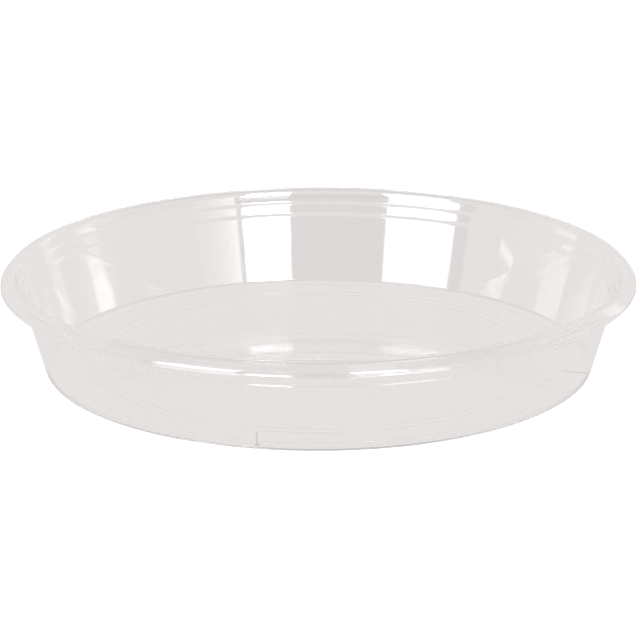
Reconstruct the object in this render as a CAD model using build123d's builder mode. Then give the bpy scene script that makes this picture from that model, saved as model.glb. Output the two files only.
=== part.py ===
"""A clear plant saucer: one moulded skin of even thickness, turned about the upright axis.

The saucer stands on z = 0 with its axis on Z. All lengths are in millimetres, all angles in degrees.
"""

import math
import os

from build123d import *

# Overall
rim_diameter = 210.0
overall_height = 32.7
skin = 0.9  # thickness of the moulding
floor_bend = 0.5  # radius on the inside of the bend between floor and wall

# Rim: a flange that rises from the riser, arches over and turns down into a lip
rim_width = 5.7  # from the riser's inside to the outside of the lip
crown_place_share = 0.3  # middle of the arch's top, as a share of the way from the riser to the lip
crown_flat = 1.2  # level part at the top of the arch
crown_rise = 1.2  # from the riser's corner to the top of the arch
crown_fall = 2.45  # from the top of the arch to the lip's corner
lip_drop = 4.55  # top of the rim to the lip's lower edge
inner_crown_bend = 2.0  # radii on the underside of the arch
middle_crown_bend = 0.9
outer_crown_bend = 1.0
lip_edge_share = 0.4  # rounding of the lip's edges, as a share of the skin

# Riser, collar and stacking shoulder: two small steps under the rim
ledge_drop = 4.75  # top of the rim to the upper step
ledge_step = 0.7
shoulder_drop = 8.6  # top of the rim to the lower step
shoulder_step = 0.75
step_slope = 56.0
step_bend = 1.0  # radius on the tight side of the steps' bends
riser_draft = 12.0
collar_draft = 15.6

# Main wall
wall_draft = 15.8

# Floor: flat, with hairline ribs on its inside, one ring near the wall and a pair farther in
rib_width = 0.16  # at the foot
rib_height = 0.03
rib_flank = 70.0  # slope of the ribs' sides
outer_rib_inset = 6.3  # edge of the base to the rib
inner_rib_inset = 17.5  # edge of the base to the middle of the pair
rib_pair_gap = 3.6  # between the middles of the two ribs

# Gate mark: the stub left by the mould's inlet in the middle of the floor
gate_diameter = 1.8
gate_height = 0.3


def lean(height, angle):
    """How far a line leaning by angle from upright moves outwards over height."""
    return height * math.tan(math.radians(angle))


# Heights of the skin's outside, worked down from the rim
crown_z = overall_height - skin
riser_top_z = crown_z - crown_rise
riser_z = overall_height - ledge_drop
ledge_z = riser_z - lean(ledge_step, step_slope)
collar_z = overall_height - shoulder_drop
shoulder_z = collar_z - lean(shoulder_step, step_slope)
lip_z = overall_height - lip_drop

# Radii of the skin's outside, worked inwards from the rim
rim_radius = rim_diameter / 2
lip_radius = rim_radius - skin
riser_top_radius = rim_radius - rim_width + skin
riser_radius = riser_top_radius - lean(riser_top_z - riser_z, riser_draft)
ledge_radius = riser_radius - ledge_step
collar_radius = ledge_radius - lean(ledge_z - collar_z, collar_draft)
shoulder_radius = collar_radius - shoulder_step
base_radius = shoulder_radius - lean(shoulder_z, wall_draft)
crown_radius = riser_top_radius + crown_place_share * (lip_radius - riser_top_radius)

# Radii of the ribs on the floor
rib_pair_radius = base_radius - inner_rib_inset
rib_radii = [
    base_radius - outer_rib_inset,
    rib_pair_radius - rib_pair_gap / 2,
    rib_pair_radius + rib_pair_gap / 2,
]

# The skin's outside from the axis to the lip, with the bend at each corner. Where the skin bends
# towards the inside of the saucer, the outside has the wider radius.
outline = [
    ((0, 0), None),
    ((base_radius, 0), floor_bend + skin),
    ((shoulder_radius, shoulder_z), step_bend),
    ((collar_radius, collar_z), step_bend + skin),
    ((ledge_radius, ledge_z), step_bend),
    ((riser_radius, riser_z), step_bend + skin),
    ((riser_top_radius, riser_top_z), inner_crown_bend),
    ((crown_radius - crown_flat / 2, crown_z), middle_crown_bend),
    ((crown_radius + crown_flat / 2, crown_z), middle_crown_bend),
    ((lip_radius, crown_z - crown_fall), outer_crown_bend),
    ((lip_radius, lip_z), None),
]

os.makedirs("parts", exist_ok=True)

with BuildPart() as saucer:
    with BuildSketch(Plane.XZ) as section:
        with BuildLine():
            points = [point for point, bend in outline]
            bends = [bend for point, bend in outline if bend is not None]
            FilletPolyline(*points, radius=bends)
            offset(amount=skin, side=Side.LEFT)
        make_face()
        lip_corners = section.vertices().filter_by_position(Axis.X, crown_radius, rim_diameter)
        fillet(lip_corners.group_by(Axis.Y)[0], radius=skin * lip_edge_share)
        with Locations([(radius, skin) for radius in rib_radii]):
            Trapezoid(rib_width, rib_height, rib_flank, align=(Align.CENTER, Align.MIN))
    revolve(axis=Axis.Z)
    with BuildSketch(Plane.XY.offset(skin)):
        Circle(gate_diameter / 2)
    extrude(amount=gate_height)

saucer.part.label = "saucer"
export_step(saucer.part, "parts/saucer.step")
print("base diameter", round(2 * base_radius, 2))
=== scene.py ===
"""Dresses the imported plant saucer: its clear moulded skin, and a small white studio round it."""

import math
from types import SimpleNamespace

import bpy
from mathutils import Matrix, Vector


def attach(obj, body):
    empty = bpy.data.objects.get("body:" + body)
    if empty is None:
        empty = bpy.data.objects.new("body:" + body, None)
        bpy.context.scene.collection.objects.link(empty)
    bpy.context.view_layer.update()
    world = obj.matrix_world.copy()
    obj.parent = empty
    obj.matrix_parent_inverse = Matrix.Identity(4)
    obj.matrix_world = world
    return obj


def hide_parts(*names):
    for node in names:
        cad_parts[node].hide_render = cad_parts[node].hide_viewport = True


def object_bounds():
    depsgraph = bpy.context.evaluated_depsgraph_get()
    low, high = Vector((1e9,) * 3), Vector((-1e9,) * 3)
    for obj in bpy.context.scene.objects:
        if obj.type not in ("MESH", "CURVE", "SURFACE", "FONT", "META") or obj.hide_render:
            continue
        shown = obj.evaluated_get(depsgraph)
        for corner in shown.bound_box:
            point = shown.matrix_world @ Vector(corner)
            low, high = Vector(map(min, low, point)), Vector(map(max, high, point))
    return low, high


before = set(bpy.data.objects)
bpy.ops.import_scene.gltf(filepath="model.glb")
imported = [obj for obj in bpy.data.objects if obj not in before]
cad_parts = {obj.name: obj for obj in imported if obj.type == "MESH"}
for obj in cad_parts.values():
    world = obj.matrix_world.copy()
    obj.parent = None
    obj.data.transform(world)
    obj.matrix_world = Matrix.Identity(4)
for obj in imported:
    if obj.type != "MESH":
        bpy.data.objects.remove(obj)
CAD_LOW, CAD_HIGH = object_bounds()

bl_info = {
    "name": "Clear Plant Saucer",
    "version": (1, 0, 0),
    "blender": (4, 5, 0),
    "location": "View3D > Sidebar > Saucer",
    "description": "Models a clear moulded plant saucer and a white studio to show it in",
    "category": "Object",
}

# Mesh
MM = 0.001
HAIR = 0.001 * MM  # keeps the mesh just inside the solid's box
SAME_PLACE = 0.01 * MM  # places closer than this count as one
RING_REACH = 0.05 * MM  # how near a ring of edges lies to the radius that it is looked for at
BEND_SEGMENTS = 12
LIP_SEGMENTS = 4
SHARP_TURN = math.radians(40)  # edges that turn by more stay crisp

# Surface of the plastic
WAVE_LENGTH = 40 * MM  # of the long shallow waves that the melt's flow leaves in the skin
WAVE_DEPTH = 0.012 * MM
PATCH_LENGTH = 12 * MM  # of the patches that handling has dulled
ROUGHNESS_CLEAN = 0.035
ROUGHNESS_DULLED = 0.06
ROUGHNESS_MARKED = 0.3
POLYSTYRENE_IOR = 1.59
LOSS_PER_METRE = 1.0  # how strongly the plastic greys light that runs through it

# Floor and paper
FLOOR_SIZE = 12.0
FLOOR_GAP = 0.1 * MM  # between the floor and the saucer's underside
ACRYLIC_IOR = 1.49
ACRYLIC_ROUGHNESS = 0.05
FOOT_SHADOW_OUT = 1.0 * MM  # from the foot to the middle of the hairline of shadow round it
FOOT_SHADOW_CORE = 0.3 * MM  # half the width of its dark core
FOOT_SHADOW_REACH = 1.3 * MM  # half its whole width
FOOT_SHADOW_SHARE = 0.76  # light that is left in it
FRONT_FADE = (-0.1, 0.15)  # the paper fades between these shares of the way towards the back
CEILING_FADE = (0.6, 0.8)  # and between these shares of the way straight up

# Light turns many times inside the thin skin before it leaves
BOUNCES = 1024

# Lamps round the saucer: name, distance, left and right edge in degrees from the camera's side, lower and
# upper edge in degrees above level, roll in degrees, and brightness as a share of the softboxes'
LAMPS = (
    ("softbox_right", 5.0, 12.0, 31.7, 12.0, 43.0, 0.0, 1.6),
    ("softbox_left", 5.0, -58.4, -28.4, 0.0, 43.0, 0.0, 0.6),
    ("strip_right", 5.0, 100.2, 107.2, 0.0, 25.0, 0.0, 0.05),
    ("back_strip_right", 5.0, 128.0, 136.0, 0.0, 25.0, 0.0, 0.06),
    ("small_strip_left", 0.5, -95.5, -87.0, 11.1, 11.8, 17.8, 0.22),
)

# Light that spills past the right softbox, as strips of even width that fade from one to the next
SPILL_DISTANCE = 5.0
SPILL_START = 34.0  # degrees from the camera's side
SPILL_WIDTH = 2.25
SPILL_TOP = 30.0
SPILL_BRIGHT = 0.26
SPILL_FADE = 0.74
SPILL_STRIPS = 8

# Marks of handling on the skin's outside: the azimuth in degrees from the front and the height at both ends
# of the stroke, and its width
MARKS = (
    ((-11.7, 6.6 * MM), (-11.9, 1.6 * MM), 0.6 * MM),
    ((-12.2, 1.7 * MM), (-11.4, 2.0 * MM), 0.9 * MM),
    ((53.6, 14.4 * MM), (71.2, 4.6 * MM), 0.28 * MM),
    ((91.0, 23.2 * MM), (91.6, 25.0 * MM), 1.4 * MM),
    ((47.2, 28.2 * MM), (47.6, 28.3 * MM), 0.6 * MM),
)


def srgb(hex_colour):
    """An sRGB hex colour as linear RGBA."""
    values = [int(hex_colour[i:i + 2], 16) / 255 for i in (1, 3, 5)]
    linear = [v / 12.92 if v <= 0.04045 else ((v + 0.055) / 1.055) ** 2.4 for v in values]
    return (*linear, 1.0)


class SaucerSizes(bpy.types.PropertyGroup):
    """Sizes of the moulding. Heights named drop are measured down from the top of the rim."""

    rim_diameter: bpy.props.FloatProperty(
        name="Rim Diameter", description="Across the outside of the rim",
        default=CAD_HIGH.x - CAD_LOW.x - HAIR, unit="LENGTH", precision=4)
    overall_height: bpy.props.FloatProperty(
        name="Height", description="Table to the top of the rim",
        default=CAD_HIGH.z - CAD_LOW.z - HAIR, unit="LENGTH", precision=4)
    skin: bpy.props.FloatProperty(
        name="Skin", description="Thickness of the moulding", default=0.9 * MM, unit="LENGTH", precision=5)
    floor_bend: bpy.props.FloatProperty(
        name="Floor Bend", description="Radius on the inside of the bend between floor and wall",
        default=0.5 * MM, unit="LENGTH", precision=5)
    rim_width: bpy.props.FloatProperty(
        name="Rim Width", description="Inside of the riser to the outside of the lip",
        default=5.7 * MM, unit="LENGTH", precision=5)
    crown_place: bpy.props.FloatProperty(
        name="Crown Place", description="Middle of the arch's top, as a share of the way from riser to lip",
        default=0.3)
    crown_flat: bpy.props.FloatProperty(
        name="Crown Flat", description="Level part at the top of the arch",
        default=1.2 * MM, unit="LENGTH", precision=5)
    crown_rise: bpy.props.FloatProperty(
        name="Crown Rise", description="Riser's corner to the top of the arch",
        default=1.2 * MM, unit="LENGTH", precision=5)
    crown_fall: bpy.props.FloatProperty(
        name="Crown Fall", description="Top of the arch to the lip's corner",
        default=2.45 * MM, unit="LENGTH", precision=5)
    lip_drop: bpy.props.FloatProperty(
        name="Lip Drop", description="Lower edge of the lip",
        default=4.55 * MM, unit="LENGTH", precision=5)
    inner_crown_bend: bpy.props.FloatProperty(
        name="Inner Crown Bend", description="Radius under the riser's corner",
        default=2.0 * MM, unit="LENGTH", precision=5)
    middle_crown_bend: bpy.props.FloatProperty(
        name="Middle Crown Bend", description="Radius under the top of the arch",
        default=0.9 * MM, unit="LENGTH", precision=5)
    outer_crown_bend: bpy.props.FloatProperty(
        name="Outer Crown Bend", description="Radius under the lip's corner",
        default=1.0 * MM, unit="LENGTH", precision=5)
    ledge_drop: bpy.props.FloatProperty(
        name="Ledge Drop", description="Top of the upper step",
        default=4.75 * MM, unit="LENGTH", precision=5)
    ledge_step: bpy.props.FloatProperty(
        name="Ledge Step", description="Width of the upper step",
        default=0.7 * MM, unit="LENGTH", precision=5)
    shoulder_drop: bpy.props.FloatProperty(
        name="Shoulder Drop", description="Top of the stacking shoulder",
        default=8.6 * MM, unit="LENGTH", precision=5)
    shoulder_step: bpy.props.FloatProperty(
        name="Shoulder Step", description="Width of the stacking shoulder",
        default=0.75 * MM, unit="LENGTH", precision=5)
    step_bend: bpy.props.FloatProperty(
        name="Step Bend", description="Radius on the tight side of the steps' bends",
        default=1.0 * MM, unit="LENGTH", precision=5)
    step_slope: bpy.props.FloatProperty(
        name="Step Slope", description="Slope of both steps",
        default=math.radians(56), subtype="ANGLE")
    riser_draft: bpy.props.FloatProperty(
        name="Riser Draft", description="Lean of the rim's riser, from upright",
        default=math.radians(12), subtype="ANGLE")
    collar_draft: bpy.props.FloatProperty(
        name="Collar Draft", description="Lean of the collar, from upright",
        default=math.radians(15.6), subtype="ANGLE")
    wall_draft: bpy.props.FloatProperty(
        name="Wall Draft", description="Lean of the main wall, from upright",
        default=math.radians(15.8), subtype="ANGLE")
    rib_width: bpy.props.FloatProperty(
        name="Rib Width", description="Width of the hairline ribs at the foot",
        default=0.16 * MM, unit="LENGTH", precision=5)
    rib_height: bpy.props.FloatProperty(
        name="Rib Height", description="How far the hairline ribs stand up",
        default=0.03 * MM, unit="LENGTH", precision=5)
    rib_flank: bpy.props.FloatProperty(
        name="Rib Flank", description="Slope of the ribs' sides", default=math.radians(70), subtype="ANGLE")
    outer_rib_inset: bpy.props.FloatProperty(
        name="Outer Rib Inset", description="Edge of the base to the outer rib",
        default=6.3 * MM, unit="LENGTH", precision=5)
    inner_rib_inset: bpy.props.FloatProperty(
        name="Inner Rib Inset", description="Edge of the base to the middle of the pair of ribs",
        default=17.5 * MM, unit="LENGTH", precision=5)
    rib_pair_gap: bpy.props.FloatProperty(
        name="Rib Pair Gap", description="Between the middles of the two ribs",
        default=3.6 * MM, unit="LENGTH", precision=5)
    gate_diameter: bpy.props.FloatProperty(
        name="Gate Diameter", description="Stub left by the mould's inlet",
        default=1.8 * MM, unit="LENGTH", precision=5)
    gate_height: bpy.props.FloatProperty(
        name="Gate Height", description="How far the stub stands up",
        default=0.3 * MM, unit="LENGTH", precision=5)
    lip_edge: bpy.props.FloatProperty(
        name="Lip Edge", description="Rounding of the lip's edges",
        default=0.36 * MM, unit="LENGTH", precision=5)
    facets: bpy.props.IntProperty(
        name="Facets", description="Steps round the axis", default=256, min=32)
    plastic_colour: bpy.props.FloatVectorProperty(
        name="Plastic Colour", description="Tint of the clear plastic",
        default=srgb("#fefefe"), size=4, subtype="COLOR")
    mark_colour: bpy.props.FloatVectorProperty(
        name="Mark Colour", description="Tint of scratches and scuffs, which hold a little dirt",
        default=srgb("#bcb8b6"), size=4, subtype="COLOR")


class StudioSetup(bpy.types.PropertyGroup):
    """Camera and light of the studio."""

    camera_distance: bpy.props.FloatProperty(
        name="Camera Distance", description="Camera to the point it looks at", default=0.95, unit="LENGTH")
    camera_elevation: bpy.props.FloatProperty(
        name="Camera Elevation", description="Height of the view above level",
        default=math.radians(17.342), subtype="ANGLE")
    camera_roll: bpy.props.FloatProperty(
        name="Camera Roll", description="Turn of the camera about its view",
        default=math.radians(-0.122), subtype="ANGLE")
    target_height: bpy.props.FloatProperty(
        name="Target Height", description="Height of the point looked at",
        default=13.726 * MM, unit="LENGTH", precision=5)
    target_side: bpy.props.FloatProperty(
        name="Target Side", description="Sideways place of the point looked at",
        default=0.502 * MM, unit="LENGTH", precision=5)
    focal_length: bpy.props.FloatProperty(
        name="Focal Length", description="Lens of the camera in millimetres", default=160.23)
    paper_colour: bpy.props.FloatVectorProperty(
        name="Paper Colour", description="Warm white of the paper round the saucer",
        default=(1.0, 0.961, 0.952, 1.0), size=4, subtype="COLOR")
    floor_colour: bpy.props.FloatVectorProperty(
        name="Floor Colour", description="White of the floor's acrylic",
        default=srgb("#f2f2f2"), size=4, subtype="COLOR")
    paper_level: bpy.props.FloatProperty(
        name="Paper Level", description="Light of the paper round the saucer, where 1 is white",
        default=0.805)
    front_level: bpy.props.FloatProperty(
        name="Front Level", description="Light of the paper on the camera's side", default=0.62)
    ceiling_level: bpy.props.FloatProperty(
        name="Ceiling Level", description="Light of the studio's ceiling", default=0.5)
    floor_level: bpy.props.FloatProperty(
        name="Floor Level", description="Light of the floor itself, where 1 is white", default=0.42)
    softbox_level: bpy.props.FloatProperty(
        name="Softbox Level", description="Brightness of the softboxes, where 1 is white", default=7.0)
    fill_power: bpy.props.FloatProperty(
        name="Fill Power", description="Lamp at the camera that keeps the floor white", default=40.0)
    flag_distance: bpy.props.FloatProperty(
        name="Flag Distance", description="Saucer to the black flag", default=5.2, unit="LENGTH")
    flag_left: bpy.props.FloatProperty(
        name="Flag Left", description="Left edge of the black flag, from the camera's side",
        default=math.radians(-64.5), subtype="ANGLE")
    flag_right: bpy.props.FloatProperty(
        name="Flag Right", description="Right edge of the black flag, from the camera's side",
        default=math.radians(33.7), subtype="ANGLE")
    flag_top: bpy.props.FloatProperty(
        name="Flag Top", description="Upper edge of the black flag, above level",
        default=math.radians(30), subtype="ANGLE")


def add_node(tree, kind, inputs=None, **settings):
    """Adds a node, sets its options, and sets or links its input sockets."""
    node = tree.nodes.new(kind)
    for name, value in settings.items():
        setattr(node, name, value)
    for socket, value in (inputs or {}).items():
        if isinstance(value, bpy.types.NodeSocket):
            tree.links.new(value, node.inputs[socket])
        else:
            node.inputs[socket].default_value = value
    return node


def new_material(name):
    """An empty node material and its tree."""
    material = bpy.data.materials.new(name)
    material.use_nodes = True
    material.node_tree.nodes.clear()
    return material, material.node_tree


def stroke(tree, place, start, end, width):
    """A mask for a straight stroke: 1 on the line from start to end, 0 beyond half its width."""
    along = end - start
    reach = add_node(tree, "ShaderNodeVectorMath", {0: place, 1: start}, operation="SUBTRACT")
    share = add_node(tree, "ShaderNodeVectorMath", {
        0: reach.outputs["Vector"], 1: along / along.length_squared}, operation="DOT_PRODUCT")
    held = add_node(tree, "ShaderNodeClamp", {"Value": share.outputs["Value"]})
    nearest = add_node(tree, "ShaderNodeVectorMath", {
        0: along, "Scale": held.outputs["Result"]}, operation="SCALE")
    gap = add_node(tree, "ShaderNodeVectorMath", {
        0: reach.outputs["Vector"], 1: nearest.outputs["Vector"]}, operation="DISTANCE")
    mask = add_node(tree, "ShaderNodeMapRange", {
        "Value": gap.outputs["Value"], "From Min": 0.1 * width, "From Max": 0.5 * width,
        "To Min": 1.0, "To Max": 0.0})
    return mask.outputs["Result"]


def unrolled(tree, place, radius):
    """The place unrolled about the axis: way round from the front at radius, axis distance and height."""
    axes = add_node(tree, "ShaderNodeSeparateXYZ", {"Vector": place})
    forward = add_node(tree, "ShaderNodeMath", {0: axes.outputs["Y"], 1: -1.0}, operation="MULTIPLY")
    turn = add_node(tree, "ShaderNodeMath", {0: axes.outputs["X"], 1: forward.outputs["Value"]},
                    operation="ARCTAN2")
    way = add_node(tree, "ShaderNodeMath", {0: turn.outputs["Value"], 1: radius}, operation="MULTIPLY")
    level = add_node(tree, "ShaderNodeVectorMath", {0: place, 1: (1, 1, 0)}, operation="MULTIPLY")
    out = add_node(tree, "ShaderNodeVectorMath", {0: level.outputs["Vector"]}, operation="LENGTH")
    flat = add_node(tree, "ShaderNodeCombineXYZ", {
        "X": way.outputs["Value"], "Y": out.outputs["Value"], "Z": axes.outputs["Z"]})
    return flat.outputs["Vector"]


def outside_radius(corners, height):
    """Radius of the skin's outside at a height between the base and the rim's riser."""
    for (radius, low, bend), (next_radius, high, next_bend) in zip(corners, corners[1:]):
        if low < height <= high:
            return radius + (next_radius - radius) * (height - low) / (high - low)


def handling_marks(tree, place, sizes, at):
    """A mask for the marks of handling on the skin's outside."""
    flat = unrolled(tree, place, at.base)
    corners = skin_outline(sizes, at)

    def on_skin(azimuth, height):
        return Vector((math.radians(azimuth) * at.base, outside_radius(corners, height), height))

    mask = 0.0
    for start, end, width in MARKS:
        line = stroke(tree, flat, on_skin(*start), on_skin(*end), width)
        joined = add_node(tree, "ShaderNodeMath", {0: mask, 1: line}, operation="MAXIMUM")
        mask = joined.outputs["Value"]
    return mask


def clear_polystyrene(sizes, at):
    """Injection-moulded clear polystyrene: water-clear and very glossy, a little grey where it is thick."""
    material, tree = new_material("clear_polystyrene_moulded")
    place = add_node(tree, "ShaderNodeTexCoord").outputs["Object"]

    # The melt's flow leaves the skin slightly wavy, so that reflections bend a little
    waves = add_node(tree, "ShaderNodeTexNoise", {
        "Vector": place, "Scale": 1 / WAVE_LENGTH, "Detail": 1.0})
    skin = add_node(tree, "ShaderNodeBump", {
        "Height": waves.outputs["Fac"], "Distance": WAVE_DEPTH, "Strength": 1.0})

    # Handling dulls the gloss in patches, and marks are rougher and hold a little dirt
    patches = add_node(tree, "ShaderNodeTexNoise", {
        "Vector": place, "Scale": 1 / PATCH_LENGTH, "Detail": 3.0})
    haze = add_node(tree, "ShaderNodeMapRange", {
        "Value": patches.outputs["Fac"], "From Min": 0.35, "From Max": 0.7,
        "To Min": ROUGHNESS_CLEAN, "To Max": ROUGHNESS_DULLED})
    marks = handling_marks(tree, place, sizes, at)
    roughness = add_node(tree, "ShaderNodeMix", {
        "Factor": marks, "A": haze.outputs["Result"], "B": ROUGHNESS_MARKED}, data_type="FLOAT")
    colour = add_node(tree, "ShaderNodeMixRGB", {
        "Fac": marks, 1: sizes.plastic_colour, 2: sizes.mark_colour})

    shader = add_node(tree, "ShaderNodeBsdfPrincipled", {
        "Base Color": colour.outputs["Color"],
        "Roughness": roughness.outputs["Result"],
        "Normal": skin.outputs["Normal"],
        "IOR": POLYSTYRENE_IOR,
        "Transmission Weight": 1.0,
    })
    body = add_node(tree, "ShaderNodeVolumeAbsorption", {
        "Color": srgb("#000000"), "Density": LOSS_PER_METRE})
    add_node(tree, "ShaderNodeOutputMaterial", {
        "Surface": shader.outputs["BSDF"], "Volume": body.outputs["Volume"]})
    return material


def lean(height, angle):
    """How far a line leaning by angle from upright moves outwards over height."""
    return height * math.tan(angle)


def skin_radii(sizes):
    """Radii and heights of the skin's outside that the outline and the ribs are drawn from."""
    at = SimpleNamespace()
    at.crown_z = sizes.overall_height - sizes.skin
    at.riser_top_z = at.crown_z - sizes.crown_rise
    at.riser_z = sizes.overall_height - sizes.ledge_drop
    at.ledge_z = at.riser_z - lean(sizes.ledge_step, sizes.step_slope)
    at.collar_z = sizes.overall_height - sizes.shoulder_drop
    at.shoulder_z = at.collar_z - lean(sizes.shoulder_step, sizes.step_slope)
    at.lip_z = sizes.overall_height - sizes.lip_drop
    at.lip = sizes.rim_diameter / 2 - sizes.skin
    at.riser_top = sizes.rim_diameter / 2 - sizes.rim_width + sizes.skin
    at.riser = at.riser_top - lean(at.riser_top_z - at.riser_z, sizes.riser_draft)
    at.ledge = at.riser - sizes.ledge_step
    at.collar = at.ledge - lean(at.ledge_z - at.collar_z, sizes.collar_draft)
    at.shoulder = at.collar - sizes.shoulder_step
    at.base = at.shoulder - lean(at.shoulder_z, sizes.wall_draft)
    at.crown = at.riser_top + sizes.crown_place * (at.lip - at.riser_top)
    pair = at.base - sizes.inner_rib_inset
    half_gap = sizes.rib_pair_gap / 2
    at.ribs = (pair - half_gap, pair + half_gap, at.base - sizes.outer_rib_inset)
    return at


def skin_outline(sizes, at):
    """The skin's outside from the axis to the lip, as (radius, height, bend) corners."""
    corners = [(0, 0, 0), (sizes.gate_diameter / 2, 0, 0)]
    for radius in at.ribs:
        corners += [(radius - sizes.rib_width / 2, 0, 0), (radius + sizes.rib_width / 2, 0, 0)]
    corners += [
        (at.base, 0, sizes.floor_bend + sizes.skin),
        (at.shoulder, at.shoulder_z, sizes.step_bend),
        (at.collar, at.collar_z, sizes.step_bend + sizes.skin),
        (at.ledge, at.ledge_z, sizes.step_bend),
        (at.riser, at.riser_z, sizes.step_bend + sizes.skin),
        (at.riser_top, at.riser_top_z, sizes.inner_crown_bend),
        (at.crown - sizes.crown_flat / 2, at.crown_z, sizes.middle_crown_bend),
        (at.crown + sizes.crown_flat / 2, at.crown_z, sizes.middle_crown_bend),
        (at.lip, at.crown_z - sizes.crown_fall, sizes.outer_crown_bend),
        (at.lip, at.lip_z, 0),
    ]
    return corners


def start_piece(name):
    """A new object at the origin, in edit mode, whose mesh is one selected vertex."""
    bpy.ops.object.select_all(action="DESELECT")
    bpy.ops.mesh.primitive_plane_add(size=MM)
    piece = bpy.context.object
    piece.name = name
    piece.data.name = name
    bpy.ops.object.mode_set(mode="EDIT")
    bpy.ops.mesh.select_mode(type="VERT")
    bpy.ops.mesh.select_all(action="SELECT")
    bpy.ops.mesh.merge(type="CENTER")
    return piece


def select_where(piece, kind, test):
    """Selects the vertices, edges or faces that pass the test, and nothing else. Leaves edit mode on."""
    bpy.ops.mesh.select_mode(type=kind)
    bpy.ops.mesh.select_all(action="DESELECT")
    bpy.ops.object.mode_set(mode="OBJECT")
    mesh = piece.data
    items = {"VERT": mesh.vertices, "EDGE": mesh.edges, "FACE": mesh.polygons}[kind]
    for item in items:
        item.select = test(item)
    bpy.ops.object.mode_set(mode="EDIT")


def draw_outline(piece, corners):
    """Extrudes the start vertex along the corners, then rounds each corner that has a bend."""
    place = Vector((0, 0, 0))
    for index, (radius, height, bend) in enumerate(corners):
        corner = Vector((radius, 0, height))
        step = corner - place
        if index == 0:
            bpy.ops.transform.translate(value=step)
        else:
            bpy.ops.mesh.extrude_vertices_move(TRANSFORM_OT_translate={"value": step})
        place = corner
    spots = [Vector((radius, 0, height)) for radius, height, bend in corners]
    for before, spot, after, (radius, height, bend) in zip(spots, spots[1:], spots[2:], corners[1:]):
        if bend == 0:
            continue
        turn = (spot - before).angle(after - spot)
        select_where(piece, "VERT", lambda vertex: (vertex.co - spot).length < SAME_PLACE)
        bpy.ops.mesh.bevel(affect="VERTICES", offset=bend * math.tan(turn / 2), segments=BEND_SEGMENTS,
                           profile=0.5)


def axis_distance(point):
    """Distance of a point from the saucer's axis."""
    return math.hypot(point.x, point.y)


def rings(piece, height, radii):
    """A test for the edges that lie at a height, along circles about the axis near one of the radii."""
    vertices = piece.data.vertices

    def on_ring(edge):
        first, second = (vertices[index].co for index in edge.vertices)
        level = max(abs(first.z - height), abs(second.z - height)) < SAME_PLACE
        along = abs(axis_distance(first) - axis_distance(second)) < SAME_PLACE
        near = any(abs(axis_distance(first) - radius) < RING_REACH for radius in radii)
        return level and along and near

    return on_ring


def round_lip(piece, sizes, at):
    """Rounds the two edges at the bottom of the lip."""
    bpy.ops.object.mode_set(mode="EDIT")
    select_where(piece, "EDGE", rings(piece, at.lip_z, (at.lip, at.lip + sizes.skin)))
    bpy.ops.mesh.bevel(affect="EDGES", offset=sizes.lip_edge, segments=LIP_SEGMENTS, profile=0.5)


def faces_up(face):
    """Whether a face lies level and looks upwards, as the inside of the floor does."""
    return face.normal.z > 0.9


def draw_gate(piece, sizes):
    """Draws the gate's stub up from the middle of the floor."""
    gate_radius = sizes.gate_diameter / 2
    select_where(piece, "FACE", lambda face: faces_up(face) and axis_distance(face.center) < gate_radius)
    bpy.ops.mesh.extrude_region_move(TRANSFORM_OT_translate={"value": (0, 0, sizes.gate_height)})


def raise_ribs(piece, sizes, at):
    """Draws the ribs up from the inside of the floor, and draws their tops in so that the sides slope."""
    half = sizes.rib_width / 2

    def on_rib(face):
        place = axis_distance(face.center)
        return faces_up(face) and any(abs(place - radius) < half for radius in at.ribs)

    select_where(piece, "FACE", on_rib)
    bpy.ops.mesh.extrude_region_move(TRANSFORM_OT_translate={"value": (0, 0, sizes.rib_height)})
    top = sizes.skin + sizes.rib_height
    slope = sizes.rib_height / math.tan(sizes.rib_flank)
    for radius in at.ribs:
        for foot, drawn in ((radius - half, slope), (radius + half, -slope)):
            select_where(piece, "EDGE", rings(piece, top, [foot]))
            scale = (foot + drawn) / foot
            bpy.ops.transform.resize(value=(scale, scale, 1), center_override=(0, 0, top))


class SAUCER_OT_moulding(bpy.types.Operator):
    """Models the saucer's skin: its outline is drawn, spun about the axis and given its thickness"""

    bl_idname = "saucer.moulding"
    bl_label = "Mould Saucer"
    bl_options = {"REGISTER", "UNDO"}

    def execute(self, context):
        sizes = context.scene.saucer_sizes
        at = skin_radii(sizes)
        corners = skin_outline(sizes, at)
        piece = start_piece("saucer_skin")
        draw_outline(piece, corners)
        bpy.ops.mesh.select_all(action="SELECT")
        bpy.ops.mesh.spin(steps=sizes.facets, angle=2 * math.pi, center=(0, 0, 0), axis=(0, 0, 1))
        bpy.ops.mesh.select_all(action="SELECT")
        bpy.ops.mesh.remove_doubles(threshold=HAIR)
        bpy.ops.mesh.normals_make_consistent(inside=False)
        bpy.ops.object.mode_set(mode="OBJECT")
        solid = piece.modifiers.new("skin", "SOLIDIFY")
        solid.thickness = sizes.skin
        solid.offset = 1
        solid.use_even_offset = True
        bpy.ops.object.modifier_apply(modifier=solid.name)
        round_lip(piece, sizes, at)
        draw_gate(piece, sizes)
        raise_ribs(piece, sizes, at)
        bpy.ops.object.mode_set(mode="OBJECT")
        bpy.ops.object.shade_smooth_by_angle(angle=SHARP_TURN)
        normals = piece.modifiers.new("normals", "WEIGHTED_NORMAL")
        normals.keep_sharp = True
        bpy.ops.object.modifier_apply(modifier=normals.name)
        piece.data.materials.append(clear_polystyrene(sizes, at))
        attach(piece, "root")
        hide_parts("saucer")
        return {"FINISHED"}


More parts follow.
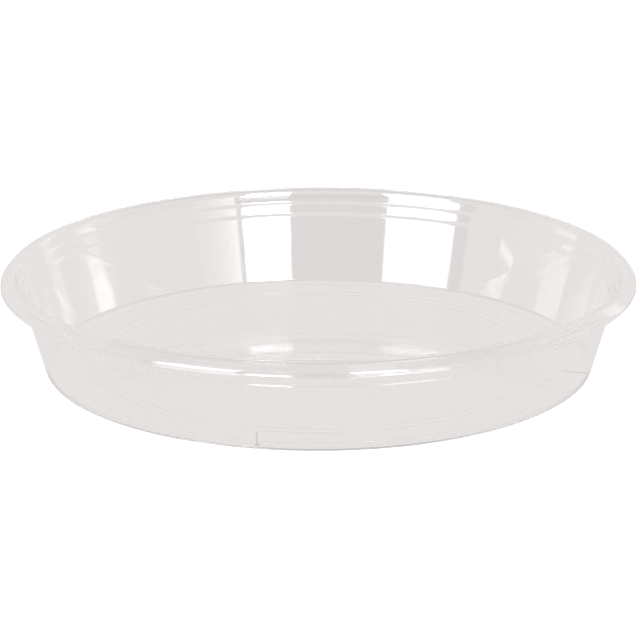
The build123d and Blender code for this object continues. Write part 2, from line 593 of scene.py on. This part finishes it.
def foot_shadow(tree, foot_radius):
    """Share of the light that is left on the floor: less in a hairline just outside the saucer's foot."""
    place = add_node(tree, "ShaderNodeTexCoord").outputs["Object"]
    out = add_node(tree, "ShaderNodeVectorMath", {0: place}, operation="LENGTH")
    beside = add_node(tree, "ShaderNodeMath", {
        0: out.outputs["Value"], 1: foot_radius + FOOT_SHADOW_OUT}, operation="SUBTRACT")
    away = add_node(tree, "ShaderNodeMath", {0: beside.outputs["Value"]}, operation="ABSOLUTE")
    share = add_node(tree, "ShaderNodeMapRange", {
        "Value": away.outputs["Value"], "From Min": FOOT_SHADOW_CORE, "From Max": FOOT_SHADOW_REACH,
        "To Min": FOOT_SHADOW_SHARE, "To Max": 1.0})
    return share.outputs["Result"]


def floor_white(setup, foot_radius):
    """White acrylic light table: white to the camera; to the plastic, lit as the paper is and polished."""
    material, tree = new_material("studio_floor_white_acrylic")
    path = add_node(tree, "ShaderNodeLightPath")
    matt = add_node(tree, "ShaderNodeBsdfDiffuse", {"Color": setup.floor_colour})
    light = add_node(tree, "ShaderNodeEmission", {"Strength": setup.floor_level})
    white = add_node(tree, "ShaderNodeAddShader", {0: matt.outputs["BSDF"], 1: light.outputs["Emission"]})
    level = add_node(tree, "ShaderNodeMath", {0: foot_shadow(tree, foot_radius), 1: setup.paper_level},
                     operation="MULTIPLY")
    paper = add_node(tree, "ShaderNodeEmission", {
        "Color": setup.paper_colour, "Strength": level.outputs["Value"]})
    polish = add_node(tree, "ShaderNodeBsdfAnisotropic", {
        "Color": srgb("#ffffff"), "Roughness": ACRYLIC_ROUGHNESS})
    glance = add_node(tree, "ShaderNodeFresnel", {"IOR": ACRYLIC_IOR})
    seen = add_node(tree, "ShaderNodeMixShader", {
        "Fac": glance.outputs["Fac"], 1: paper.outputs["Emission"], 2: polish.outputs["BSDF"]})
    both = add_node(tree, "ShaderNodeMixShader", {
        "Fac": path.outputs["Is Camera Ray"], 1: seen.outputs["Shader"], 2: white.outputs["Shader"]})
    add_node(tree, "ShaderNodeOutputMaterial", {"Surface": both.outputs["Shader"]})
    return material


def aim(thing, place, target, roll=0.0):
    """Puts a camera or lamp at place and points it at target."""
    turn = (target - place).to_track_quat("-Z", "Y").to_matrix().to_4x4()
    thing.matrix_world = Matrix.Translation(place) @ turn @ Matrix.Rotation(roll, 4, "Z")


def around(azimuth, elevation, distance):
    """A point seen from the origin; azimuth turns from the camera's side (-Y) towards +X."""
    level = distance * math.cos(elevation)
    return Vector((level * math.sin(azimuth), -level * math.cos(azimuth), distance * math.sin(elevation)))


def lay_floor(setup, foot_radius):
    """The light table that the saucer stands on."""
    bpy.ops.object.select_all(action="DESELECT")
    bpy.ops.mesh.primitive_plane_add(size=FLOOR_SIZE, location=(0, 0, -FLOOR_GAP))
    floor = bpy.context.object
    floor.name = "studio_floor"
    floor.data.materials.append(floor_white(setup, foot_radius))


def hang_paper(scene, setup):
    """Warm white paper all round the saucer, darker on the camera's side and at the ceiling."""
    world = bpy.data.worlds.new("studio_paper")
    scene.world = world
    world.use_nodes = True
    tree = world.node_tree
    tree.nodes.clear()
    place = add_node(tree, "ShaderNodeTexCoord")
    axes = add_node(tree, "ShaderNodeSeparateXYZ", {"Vector": place.outputs["Generated"]})
    front = add_node(tree, "ShaderNodeMapRange", {
        "Value": axes.outputs["Y"], "From Min": FRONT_FADE[0], "From Max": FRONT_FADE[1],
        "To Min": setup.front_level, "To Max": setup.paper_level})
    ceiling = add_node(tree, "ShaderNodeMapRange", {
        "Value": axes.outputs["Z"], "From Min": CEILING_FADE[0], "From Max": CEILING_FADE[1],
        "To Min": setup.paper_level, "To Max": setup.ceiling_level})
    level = add_node(tree, "ShaderNodeMath", {0: front.outputs["Result"], 1: ceiling.outputs["Result"]},
                     operation="MINIMUM")
    shine = add_node(tree, "ShaderNodeBackground", {
        "Color": setup.paper_colour, "Strength": level.outputs["Value"]})
    add_node(tree, "ShaderNodeOutputWorld", {"Surface": shine.outputs["Background"]})


def upright_panel(left, right, low, high, distance):
    """Width, height and middle of an upright panel that fills the given angles as seen from the saucer."""
    foot, top = distance * math.tan(low), distance * math.tan(high)
    width = 2 * distance * math.tan((right - left) / 2)
    middle = around((left + right) / 2, 0.0, distance) + Vector((0, 0, (foot + top) / 2))
    return width, top - foot, middle


def face_axis(thing, middle, roll=0.0):
    """Puts an upright lamp or flag at middle and turns it to the saucer's axis."""
    aim(thing, middle, Vector((0, 0, middle.z)), roll)


def spill_strips():
    """The strips of spilled light, in the form of the table of lamps."""
    for step in range(SPILL_STRIPS):
        left = SPILL_START + step * SPILL_WIDTH
        bright = SPILL_BRIGHT * SPILL_FADE ** step
        yield f"spill_right_{step}", SPILL_DISTANCE, left, left + SPILL_WIDTH, 0.0, SPILL_TOP, 0.0, bright


def hang_lamps(scene, setup):
    """The softboxes and strips that the plastic mirrors."""
    for name, distance, left, right, low, high, roll, bright in (*LAMPS, *spill_strips()):
        edges = [math.radians(edge) for edge in (left, right, low, high)]
        width, height, middle = upright_panel(*edges, distance)
        lamp = bpy.data.lights.new(name, "AREA")
        lamp.shape = "RECTANGLE"
        lamp.size = width
        lamp.size_y = height
        lamp.energy = bright * setup.softbox_level * math.pi * width * height
        box = bpy.data.objects.new(name, lamp)
        box.visible_diffuse = False
        scene.collection.objects.link(box)
        face_axis(box, middle, math.radians(roll))


def hang_flag(setup):
    """A black flag behind the softboxes, which the back wall mirrors as a darker stretch between them."""
    bpy.ops.object.select_all(action="DESELECT")
    bpy.ops.mesh.primitive_plane_add(size=1.0)
    flag = bpy.context.object
    flag.name = "black_flag"
    material, tree = new_material("black_flag_cloth")
    shader = add_node(tree, "ShaderNodeBsdfDiffuse", {"Color": (0, 0, 0, 1)})
    add_node(tree, "ShaderNodeOutputMaterial", {"Surface": shader.outputs["BSDF"]})
    flag.data.materials.append(material)
    width, height, middle = upright_panel(
        setup.flag_left, setup.flag_right, 0.0, setup.flag_top, setup.flag_distance)
    face_axis(flag, middle)
    flag.scale = (width, height, 1)
    flag.visible_camera = False
    flag.visible_diffuse = False
    flag.visible_shadow = False


def set_camera(scene, setup):
    """The camera, and at its place a fill lamp that lights the floor and doesn't show in the plastic."""
    target = Vector((setup.target_side, 0, setup.target_height))
    spot = target + around(0.0, setup.camera_elevation, setup.camera_distance)
    camera_data = bpy.data.cameras.new("photo_camera")
    camera_data.lens = setup.focal_length
    camera_data.sensor_width = 36.0
    camera_data.clip_start = 0.01
    camera = bpy.data.objects.new("photo_camera", camera_data)
    scene.collection.objects.link(camera)
    aim(camera, spot, target, setup.camera_roll)
    scene.camera = camera

    lamp = bpy.data.lights.new("camera_fill", "POINT")
    lamp.energy = setup.fill_power
    lamp.shadow_soft_size = 0.002
    lamp.use_nodes = True
    tree = lamp.node_tree
    tree.nodes.clear()
    reach = add_node(tree, "ShaderNodeLightFalloff", {"Strength": 1.0})
    path = add_node(tree, "ShaderNodeLightPath")
    even = add_node(tree, "ShaderNodeMath", {0: reach.outputs["Constant"], 1: path.outputs["Ray Length"]},
                    operation="MULTIPLY")
    glow = add_node(tree, "ShaderNodeEmission", {"Strength": even.outputs["Value"]})
    add_node(tree, "ShaderNodeOutputLight", {"Surface": glow.outputs["Emission"]})
    fill = bpy.data.objects.new("camera_fill", lamp)
    fill.visible_glossy = False
    fill.visible_transmission = False
    scene.collection.objects.link(fill)
    fill.location = spot


class SAUCER_OT_studio(bpy.types.Operator):
    """Sets up the white floor, the paper, the lamps, the black flag and the camera"""

    bl_idname = "saucer.studio"
    bl_label = "Set Up Studio"
    bl_options = {"REGISTER", "UNDO"}

    def execute(self, context):
        scene = context.scene
        setup = scene.saucer_studio
        scene.view_settings.view_transform = "Standard"
        scene.cycles.blur_glossy = 0.0
        scene.cycles.max_bounces = BOUNCES
        scene.cycles.glossy_bounces = BOUNCES
        scene.cycles.transmission_bounces = BOUNCES
        lay_floor(setup, skin_radii(scene.saucer_sizes).base)
        hang_paper(scene, setup)
        hang_lamps(scene, setup)
        hang_flag(setup)
        set_camera(scene, setup)
        return {"FINISHED"}


class SAUCER_PT_sidebar(bpy.types.Panel):
    """The steps that make the saucer and its studio"""

    bl_idname = "SAUCER_PT_sidebar"
    bl_label = "Clear Plant Saucer"
    bl_space_type = "VIEW_3D"
    bl_region_type = "UI"
    bl_category = "Saucer"

    def draw(self, context):
        for step in (SAUCER_OT_moulding, SAUCER_OT_studio):
            self.layout.operator(step.bl_idname)


CLASSES = (SaucerSizes, StudioSetup, SAUCER_OT_moulding, SAUCER_OT_studio, SAUCER_PT_sidebar)


def register():
    for cls in CLASSES:
        bpy.utils.register_class(cls)
    bpy.types.Scene.saucer_sizes = bpy.props.PointerProperty(type=SaucerSizes)
    bpy.types.Scene.saucer_studio = bpy.props.PointerProperty(type=StudioSetup)


def unregister():
    del bpy.types.Scene.saucer_studio
    del bpy.types.Scene.saucer_sizes
    for cls in reversed(CLASSES):
        bpy.utils.unregister_class(cls)


def main():
    register()
    bpy.ops.saucer.moulding()
    bpy.ops.saucer.studio()


if __name__ == "__main__":
    main()
